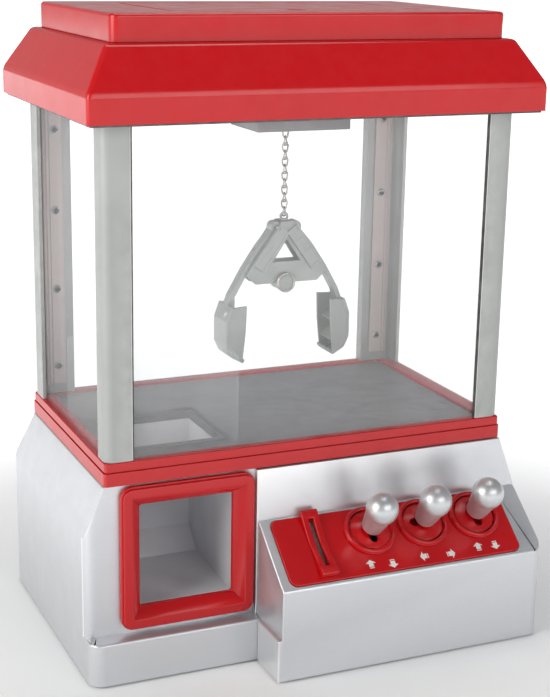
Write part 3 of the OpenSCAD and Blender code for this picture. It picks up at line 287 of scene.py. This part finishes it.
def silver(name, colour, rough):
    """Silver paint on plastic: metal flake under a satin lacquer, with faint drawn streaks."""
    g = Graph(name)
    flake = g.noise(scale=5200, detail=2)
    drawn = g.noise(scale=70, detail=4, stretch=(1, 1, 22))
    light = shade(colour, 1.08)
    tone = g.blend(g.spread(flake, 0, 1, start=0.35, stop=0.65), shade(colour, 0.9), light)
    tone = g.blend(g.spread(drawn, 0, 0.28), tone, light)
    bare_edge = (0.93, 0.94, 0.95)
    g.link(g.blend(g.edges(), tone, bare_edge), g.shader.inputs["Base Color"])
    gloss = g.noise(scale=90, detail=5)
    g.link(g.spread(gloss, rough * 0.85, rough * 1.2), g.shader.inputs["Roughness"])
    fine = g.bump(flake, strength=0.05, distance=0.0002)
    ripple = g.bump(g.noise(scale=38, detail=2), strength=0.03, distance=0.002, under=fine)
    g.link(ripple, g.shader.inputs["Normal"])
    g.set(Metallic=0.72, Coat_Weight=0.12, Coat_Roughness=0.25)
    return g.mat


def clear(name, tint, alpha, rough):
    """Clear polished sheet with a little haze and handling marks."""
    g = Graph(name)
    g.link(g.blend(g.spread(g.noise(scale=18), 0, 1), tint, (1, 1, 1)), g.shader.inputs["Base Color"])
    smear = g.noise(scale=30, detail=6)
    g.link(g.spread(smear, rough * 0.5, rough * 3), g.shader.inputs["Roughness"])
    wave = g.bump(g.noise(scale=9, detail=1), strength=0.02, distance=0.002)
    g.link(wave, g.shader.inputs["Normal"])
    g.set(Alpha=alpha, IOR=1.49)
    return g.mat


def metal(name, colour, rough):
    """Plated or drawn metal with fine scratches."""
    g = Graph(name)
    marks = g.noise(scale=1500, detail=3)
    cloud = g.spread(g.noise(scale=120, detail=4), 0, 1)
    g.link(g.blend(cloud, shade(colour, 0.82), colour), g.shader.inputs["Base Color"])
    g.link(g.spread(marks, rough * 0.7, rough * 1.5), g.shader.inputs["Roughness"])
    g.link(g.bump(marks, strength=0.06, distance=0.0002), g.shader.inputs["Normal"])
    g.set(Metallic=1.0)
    return g.mat


MATERIALS = {
    "silver_plastic": silver("silver_paint", (0.63, 0.645, 0.67), 0.38),
    "red_plastic": moulded("glossy_red", (0.50, 0.0012, 0.004), 0.2, depth=0.01, shift=0.03, wear=0.06),
    "dark_plastic": moulded("matt_black", (0.035, 0.035, 0.038), 0.55, depth=0.2),
    "post_grey": moulded("satin_grey", (0.345, 0.358, 0.345), 0.42, grain=2600, depth=0.06, metallic=0.2),
    "strip_pink": moulded("warm_grey", (0.50, 0.43, 0.41), 0.45, depth=0.05),
    "chute_grey": moulded("light_grey", (0.56, 0.565, 0.59), 0.4, depth=0.05),
    "deck_grey": moulded("tray_grey", (0.165, 0.17, 0.178), 0.38, depth=0.05),
    "clear_sheet": clear("clear_sheet", (0.90, 0.95, 1.0), alpha=0.08, rough=0.03),
    "foot_rubber": moulded("black_rubber", (0.02, 0.02, 0.02), 0.8, depth=0.3),
    "ball_grey": silver("pearl_silver", (0.60, 0.61, 0.62), 0.36),
    "gantry_grey": moulded("gantry_grey", (0.2, 0.195, 0.2), 0.5, depth=0.08),
    "gantry_white": moulded("natural_white", (0.72, 0.72, 0.68), 0.45, depth=0.05),
    "claw_grey": moulded("claw_grey", (0.36, 0.38, 0.365), 0.34, depth=0.05, metallic=0.3),
    "nickel": metal("nickel", (0.55, 0.52, 0.48), 0.24),
    "steel": metal("plated_steel", (0.64, 0.65, 0.66), 0.38),
    "board_green": moulded("solder_mask", (0.01, 0.12, 0.04), 0.35, depth=0.05),
    "speaker_black": moulded("paper_cone", (0.03, 0.03, 0.03), 0.85, depth=0.4),
}
SHEET_EDGE_MATERIAL = clear("sheet_edge", (0.55, 0.62, 0.66), alpha=0.55, rough=0.12)


# ---------------------------------------------------------------- mesh helpers

WELD = 2e-6


def place(name, mesh, node, slot, replaces=()):
    """Links a finished mesh as a piece: the body of its node, its slot and what it stands for."""
    obj = bpy.data.objects.new(name, mesh)
    bpy.context.scene.collection.objects.link(obj)
    mesh.materials.clear()
    mesh.materials.append(MATERIALS[slot])
    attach(obj, BODY_OF[node])
    if replaces:
        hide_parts(*replaces)
    return obj


def place_built(name, bm, node, slot, replaces=()):
    """Turns a built mesh into a piece, with its faces outwards."""
    bmesh.ops.recalc_face_normals(bm, faces=bm.faces)
    mesh = bpy.data.meshes.new(name)
    bm.to_mesh(mesh)
    bm.free()
    return place(name, mesh, node, slot, replaces)


def loft(bm, rings):
    """Smooth faces between closed rings of vertices, and from the last ring to the first."""
    count = len(rings[0])
    for ring, after in zip(rings, rings[1:] + rings[:1]):
        for i in range(count):
            k = (i + 1) % count
            bm.faces.new((ring[i], ring[k], after[k], after[i])).smooth = True


def prism(bm, outline, thick, to_world):
    """A flat shape of the given outline, thick high, set in place by to_world(u, v, height)."""
    rings = [[bm.verts.new(to_world(u, v, h)) for u, v in outline] for h in (0, thick)]
    bm.faces.new(rings[0][::-1])
    bm.faces.new(rings[1])
    for i in range(len(outline)):
        k = (i + 1) % len(outline)
        bm.faces.new((rings[0][i], rings[0][k], rings[1][k], rings[1][i]))


# ---------------------------------------------------------------- rounded shells of the CAD nodes

SHARP = math.radians(28)
COPLANAR = math.radians(0.8)
ROUND_SEGMENTS = 3
SHEET_EDGE = 2.2 * MM


def is_sheet_edge(face):
    """Whether a face of a clear sheet is one of its narrow edges."""
    spans = [max(v.co[i] for v in face.verts) - min(v.co[i] for v in face.verts) for i in range(3)]
    return sorted(spans)[1] < SHEET_EDGE


def rounded(node, width, rule=None, join=True, crease=SHARP):
    """The CAD node's shape with its coplanar triangles joined and its outer edges rounded."""
    mesh = NODES[node].data.copy()
    bm = bmesh.new()
    bm.from_mesh(mesh)
    bmesh.ops.remove_doubles(bm, verts=bm.verts, dist=WELD)
    if join:
        bmesh.ops.dissolve_limit(bm, angle_limit=COPLANAR, verts=bm.verts, edges=bm.edges)
    weights = bm.edges.layers.float.new("bevel_weight_edge")
    for face in bm.faces:
        face.smooth = True
    for edge in bm.edges:
        if len(edge.link_faces) != 2 or edge.calc_face_angle() < crease:
            continue
        if edge.calc_face_angle_signed() < 0:
            edge.smooth = False
            continue
        middle = (edge.verts[0].co + edge.verts[1].co) / 2
        edge[weights] = rule(middle) / width if rule else 1
    if SLOT_OF[node] == "clear_sheet":
        for face in bm.faces:
            face.material_index = int(is_sheet_edge(face))
    bm.to_mesh(mesh)
    bm.free()
    obj = place(node + "_shell", mesh, node, SLOT_OF[node], (node,))
    if SLOT_OF[node] == "clear_sheet":
        mesh.materials.append(SHEET_EDGE_MATERIAL)
    bevel = obj.modifiers.new("rounding", "BEVEL")
    bevel.limit_method = "WEIGHT"
    bevel.width = width
    bevel.segments = ROUND_SEGMENTS
    bevel.use_clamp_overlap = False
    normals = obj.modifiers.new("normals", "WEIGHTED_NORMAL")
    normals.keep_sharp = True


# How far edges are rounded: EDGE on most pieces, LIP at the openings and feet of the big ones
FINE = 0.15 * MM
EDGE = 0.3 * MM
LIP = 0.4 * MM
BAND_ROUND = 0.7 * MM
CONSOLE_ROUND = 1.0 * MM
BASE_ROUND = 1.3 * MM
CAP_ROUND = 1.8 * MM
ROOF_ROUND = 2.4 * MM

# An edge this near the lower end of the roof, base or console belongs to its foot
FOOT = 3 * MM
# An edge of the base belongs to its top when it is this near it, and to its inside when it is
# farther in than this from the sides and nearer than this to the middle, front to back
BASE_TOP = 4 * MM
BASE_INSIDE_X = 14 * MM
BASE_INSIDE_Y = 68 * MM
# The openings of the base's back wall lie within these, and its prize bay in this box
BACK_WALL = 4 * MM
BACK_OPENINGS_X = 115 * MM
BACK_OPENINGS_Z = (30 * MM, 82 * MM)
BAY_LOW = Vector((-118, -90, 27.5)) * MM
BAY_HIGH = Vector((-32, -60, 110)) * MM
# The console's panel pocket lies farther in than this from its left, right, front and back
CONSOLE_LEFT = 3.5 * MM
CONSOLE_RIGHT = 9 * MM
CONSOLE_Y = 0.6 * MM
# The rounded edges of the band lie this near its lower and upper ends, and the cap's its top
BAND_LOW = 0.5 * MM
BAND_HIGH = 2.2 * MM
CAP_TOP = 0.3 * MM


def roof_rule(mid):
    """Wide everywhere but at the foot of the skirt."""
    return ROOF_ROUND if mid.z > BOX["roof_canopy"][0].z + FOOT else LIP


def cap_rule(mid):
    """Wide round the top; narrow below it."""
    return CAP_ROUND if mid.z > BOX["roof_cap"][1].z - CAP_TOP else LIP


def base_rule(mid):
    """Wide on the outer corners and the plinth; narrow at the foot, the openings and the slots."""
    low, high = BOX["base_housing"]
    at_end = mid.z < low.z + FOOT or mid.z > high.z - BASE_TOP
    at_bay = all(a < v < b for v, a, b in zip(mid, BAY_LOW, BAY_HIGH))
    behind = mid.y > high.y - BACK_WALL and abs(mid.x) < BACK_OPENINGS_X
    at_back_opening = behind and BACK_OPENINGS_Z[0] < mid.z < BACK_OPENINGS_Z[1]
    within = abs(mid.x) < high.x - BASE_INSIDE_X and abs(mid.y) < BASE_INSIDE_Y
    return LIP if at_end or at_bay or at_back_opening or within else BASE_ROUND


def console_rule(mid):
    """Wide on the outer edges; narrow round the panel's pocket and at the foot."""
    low, high = BOX["console_housing"]
    across = low.x + CONSOLE_LEFT < mid.x < high.x - CONSOLE_RIGHT
    between = low.y + CONSOLE_Y < mid.y < high.y - CONSOLE_Y
    return LIP if mid.z < low.z + FOOT or (across and between) else CONSOLE_ROUND


def band_rule(mid):
    """Wider at the band's lower and upper ends than between them."""
    low, high = BOX["trim_band"]
    near_end = mid.z < low.z + BAND_LOW or mid.z > high.z - BAND_HIGH
    return BAND_ROUND if near_end else FINE


# Width, rule, whether coplanar triangles are joined, and the least angle that is rounded
ROUNDINGS = {
    "roof_canopy": (ROOF_ROUND, roof_rule),
    "roof_cap": (CAP_ROUND, cap_rule),
    "base_housing": (BASE_ROUND, base_rule, False),
    "console_housing": (CONSOLE_ROUND, console_rule),
    "prize_frame": (0.7 * MM, None, False, math.radians(12)),
    "trim_band": (BAND_ROUND, band_rule),
    "control_panel": (0.5 * MM,),
    "coin_slot_bezel": (0.6 * MM,),
    "chute_guard": (FINE,),
}
ROUNDINGS.update({name: (FINE,) for name in NODES if name.startswith("window_")})


def add_shells():
    """A rounded shell for every node but the chain, which is built anew."""
    for node in NODES:
        if node != "hoist_chain":
            rounded(node, *ROUNDINGS.get(node, (EDGE,)))


# ---------------------------------------------------------------- chain

WIRE = 0.55 * MM
LINK_BEND = 1.75 * MM
LINK_TWIST = math.radians(34)
LINK_TURN = math.radians(45)
LINK_STEPS = 40
WIRE_STEPS = 10


def islands(bm):
    """Groups of vertices that are joined by edges."""
    left = set(bm.verts)
    while left:
        group = [left.pop()]
        for vert in group:
            for edge in vert.link_edges:
                other = edge.other_vert(vert)
                if other in left:
                    left.discard(other)
                    group.append(other)
        yield group


def chain_link(bm, centre, turn, reach):
    """One curb link: round wire bent to a stadium that twists about the chain's axis."""
    straight = reach - LINK_BEND - WIRE
    rings = []
    for i in range(LINK_STEPS):
        a = 2 * math.pi * i / LINK_STEPS
        x = LINK_BEND * math.cos(a)
        z = LINK_BEND * math.sin(a) + math.copysign(straight, math.sin(a))
        outward = Vector((math.cos(a), 0, math.sin(a)))
        twist = Matrix.Rotation(turn + LINK_TWIST * z / reach, 3, "Z")
        ring = []
        for j in range(WIRE_STEPS):
            b = 2 * math.pi * j / WIRE_STEPS
            point = Vector((x, 0, z)) + WIRE * (outward * math.cos(b) + Vector((0, math.sin(b), 0)))
            ring.append(bm.verts.new(centre + twist @ point))
        rings.append(ring)
    loft(bm, rings)


def add_chain():
    """A twisted round-wire link over each link of the CAD's chain, turned left and right by turns."""
    cad = bmesh.new()
    cad.from_mesh(NODES["hoist_chain"].data)
    bmesh.ops.remove_doubles(cad, verts=cad.verts, dist=WELD)
    spans = []
    for group in islands(cad):
        heights = [v.co.z for v in group]
        middle = sum((v.co for v in group), Vector()) / len(group)
        spans.append((min(heights), max(heights), middle))
    cad.free()
    bm = bmesh.new()
    for i, (low, high, middle) in enumerate(sorted(spans, key=lambda span: span[0])):
        centre = Vector((middle.x, middle.y, (low + high) / 2))
        chain_link(bm, centre, LINK_TURN if i % 2 == 0 else -LINK_TURN, (high - low) / 2)
    place_built("chain_links", bm, "hoist_chain", "nickel", ("hoist_chain",))


# ---------------------------------------------------------------- panel marks

PANEL_LOW, PANEL_HIGH = BOX["control_panel"]
SLOPE_UP = Vector((0, PANEL_HIGH.y - PANEL_LOW.y, PANEL_HIGH.z - PANEL_LOW.z)).normalized()
SLOPE_OUT = Vector((1, 0, 0)).cross(SLOPE_UP)
PANEL_FACE = max(v.co.dot(SLOPE_OUT) for v in NODES["control_panel"].data.vertices)
PANEL_FRONT = min(v.co.dot(SLOPE_UP) for v in NODES["control_panel"].data.vertices)

# An arrow and the bar under it, in millimetres
ARROW = ((-1.5, -1.9), (1.5, -1.9), (1.5, 0.3), (3.2, 0.3), (0, 2.5), (-3.2, 0.3), (-1.5, 0.3))
ARROW_BAR = ((-1.5, -2.9), (1.5, -2.9), (1.5, -2.35), (-1.5, -2.35))
PRINT_THICK = 0.08 * MM
# Place across the machine, distance up the slope, and turn in degrees of each mark
PANEL_MARKS = (
    (23.1, 6.4, 0),
    (36.8, 4.1, 180),
    (57.6, 5.7, 90),
    (75.5, 4.6, -90),
    (94.4, 6.5, 0),
    (105.8, 5.3, 180),
)


def on_panel(x, up):
    """A point on the panel's face: x across, and up the slope from the face's front edge."""
    return Vector((x, 0, 0)) + SLOPE_UP * (PANEL_FRONT + up) + SLOPE_OUT * PANEL_FACE


def mark_frame(x, up, turn):
    """What carries an outline's (u, v, height) to a mark's place on the panel."""
    c, s = math.cos(math.radians(turn)), math.sin(math.radians(turn))

    def to_world(u, v, h):
        return on_panel((x + u * c - v * s) * MM, (up + u * s + v * c) * MM) + SLOPE_OUT * h

    return to_world


def add_marks():
    """White printed arrows in front of the joysticks, with no words."""
    bm = bmesh.new()
    for mark in PANEL_MARKS:
        for outline in (ARROW, ARROW_BAR):
            prism(bm, outline, PRINT_THICK, mark_frame(*mark))
    place_built("panel_arrows", bm, "control_panel", "gantry_white")


# ---------------------------------------------------------------- window seals

SEAL_SHORT = 0.2 * MM
SEAL_INSET = 0.3 * MM
SEAL_ROUND = 0.1 * MM
# Name, slot, and where it starts and ends from the post towards the middle of the window
SEALS = (
    ("post_lips", "gantry_white", 0.0, 0.5 * MM),
    ("window_seals", "foot_rubber", 0.5 * MM, 1.3 * MM),
)


def add_seals():
    """Dark seal and pale lip where each front post meets the front window."""
    post_low, post_high = BOX["post_front_left"]
    inner = min(abs(post_low.x), abs(post_high.x))
    z0, z1 = post_low.z + SEAL_SHORT, post_high.z - SEAL_SHORT
    front, back = post_low.y + SEAL_INSET, BOX["window_front"][0].y
    for name, slot, near, far in SEALS:
        bm = bmesh.new()
        for side in (-1, 1):
            x0, x1 = sorted((side * (inner - near), side * (inner - far)))
            outline = ((x0, front), (x1, front), (x1, back), (x0, back))
            prism(bm, outline, z1 - z0, lambda u, v, h: Vector((u, v, z0 + h)))
        obj = place_built(name, bm, "post_front_left", slot)
        bevel = obj.modifiers.new("rounding", "BEVEL")
        bevel.width = SEAL_ROUND
        bevel.segments = 2


# ---------------------------------------------------------------- claw hub

HUB_PIVOTS = PIVOTS["jaw_left_hinge"], PIVOTS["jaw_right_hinge"]
HUB_X = (HUB_PIVOTS[0].x + HUB_PIVOTS[1].x) / 2
HUB_Z = HUB_PIVOTS[0].z
HUB_HALF_DEPTH = 7.6 * MM
HUB_FACE = HUB_PIVOTS[0].y - HUB_HALF_DEPTH

# The middle of an arm from the middle of the pivots, and its slope
ARM_X = 11.2 * MM
ARM_Z = -12.6 * MM
ARM_SLOPE = math.atan2(32.9, 23.5)
RIB_HIGH = 0.5 * MM
# Corners of each rib on an arm, in millimetres along and across it
ARM_RIBS = (
    ((-14, -3.8), (14, -3.1)),
    ((-14, 3.1), (14, 3.8)),
    ((3.0, -3.1), (3.7, 3.1)),
    ((-6.5, -3.1), (-5.8, 3.1)),
    ((13.3, -3.1), (14, 3.1)),
    ((-2.0, -0.3), (3.0, 0.3)),
)


def arm_frame(side):
    """What carries (along, across, height) to the front face of a hub arm."""
    centre = Vector((HUB_X + side * ARM_X, HUB_FACE, HUB_Z + ARM_Z))
    run = Vector((side * math.cos(ARM_SLOPE), 0, -math.sin(ARM_SLOPE)))
    sideways = Vector((run.z, 0, -run.x))

    def to_world(along, across, h):
        return centre + run * along * MM + sideways * across * MM + Vector((0, -h, 0))

    return to_world


def add_hub_ribs():
    """Raised frame and cross ribs on the two front arms of the claw's hub."""
    bm = bmesh.new()
    for side in (-1, 1):
        for (a0, c0), (a1, c1) in ARM_RIBS:
            prism(bm, ((a0, c0), (a1, c0), (a1, c1), (a0, c1)), RIB_HIGH, arm_frame(side))
    place_built("claw_hub_ribs", bm, "claw_hub", "claw_grey")


BOSS_X = -1.5 * MM
BOSS_Z = -34.4 * MM
RIM_STEPS = 64
# Radius and height out of the hub of each corner of the rim's section, in millimetres
RIM = ((4.9, 0.2), (5.95, 0.2), (6.25, -0.1), (6.25, -1.3), (5.95, -1.5), (5.9, -1.2), (4.9, -0.7))


def add_boss_rim():
    """Bright pressed rim round the boss at the foot of the hub."""
    centre = Vector((HUB_X + BOSS_X, BOX["claw_hub"][0].y, HUB_Z + BOSS_Z))
    turn = Vector((0, -1, 0)).to_track_quat("Z", "Y").to_matrix()
    bm = bmesh.new()
    rings = []
    for radius, height in RIM:
        ring = []
        for i in range(RIM_STEPS):
            a = 2 * math.pi * i / RIM_STEPS
            point = Vector((radius * math.cos(a), radius * math.sin(a), height)) * MM
            ring.append(bm.verts.new(centre + turn @ point))
        rings.append(ring)
    loft(bm, rings)
    place_built("claw_boss_rim", bm, "claw_hub", "nickel")


# ---------------------------------------------------------------- scene

bpy.context.scene.view_settings.view_transform = "Standard"
add_camera()
add_world()
add_lights()
add_floor()
add_marks()
add_seals()
add_hub_ribs()
add_boss_rim()
add_chain()
add_shells()
